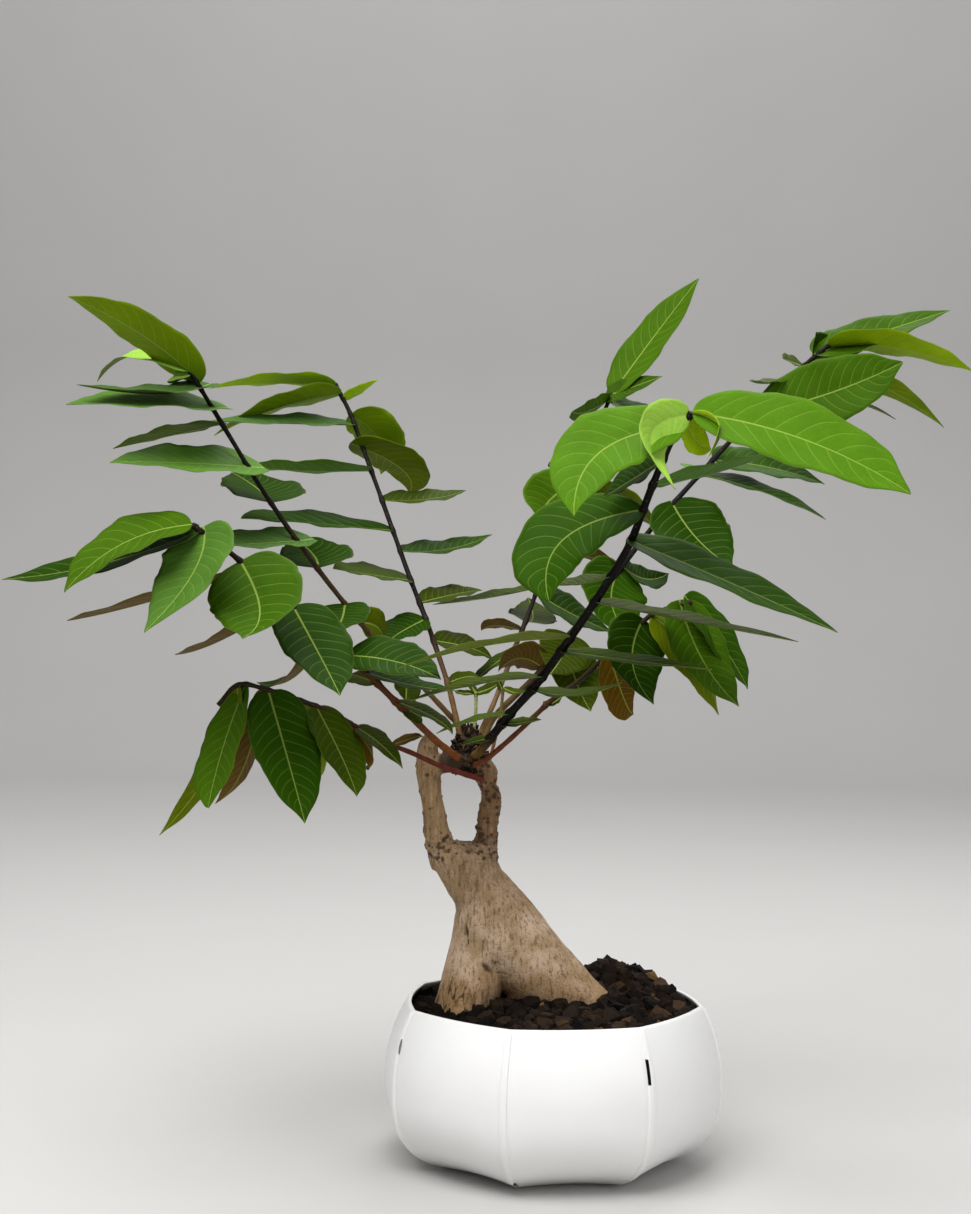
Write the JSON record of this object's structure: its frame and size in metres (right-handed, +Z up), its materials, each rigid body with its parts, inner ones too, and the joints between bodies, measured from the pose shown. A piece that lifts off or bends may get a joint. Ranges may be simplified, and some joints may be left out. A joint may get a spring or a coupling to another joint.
{
  "type": "potted caudex plant",
  "caption": "Potted caudex plant with a swollen two-legged trunk and leafy arching branches, in dark soil in a ribbed white pot.",
  "frame": {"origin": "middle of the flat underside of the pot", "axes": "+Z up, -Y towards the front as pictured, +X to the viewer's right"},
  "size_m": [0.4327, 0.2547, 0.4114],
  "materials": {
    "pot": "white injection-moulded plastic, faint sheen",
    "soil": "loose dark lava grains, dry and matte",
    "bark": "grey-tan corky bark, matte",
    "leaf": "living leaf, waxy, half matt; black-brown stem",
    "young_leaf": "young living leaf and shoot, waxy"
  },
  "bodies": {
    "root": {"pot": "pot", "soil": "soil", "caudex": "bark", "frond_upper_left": "leaf", "frond_front_left": "leaf", "frond_low_left": "leaf", "frond_centre": "leaf", "frond_front_right": "leaf", "frond_far_right": "leaf", "frond_back": "leaf", "frond_low_right": "leaf", "shoot_pale": "young_leaf", "shoot_tan": "young_leaf"}
  },
  "joints": []
}
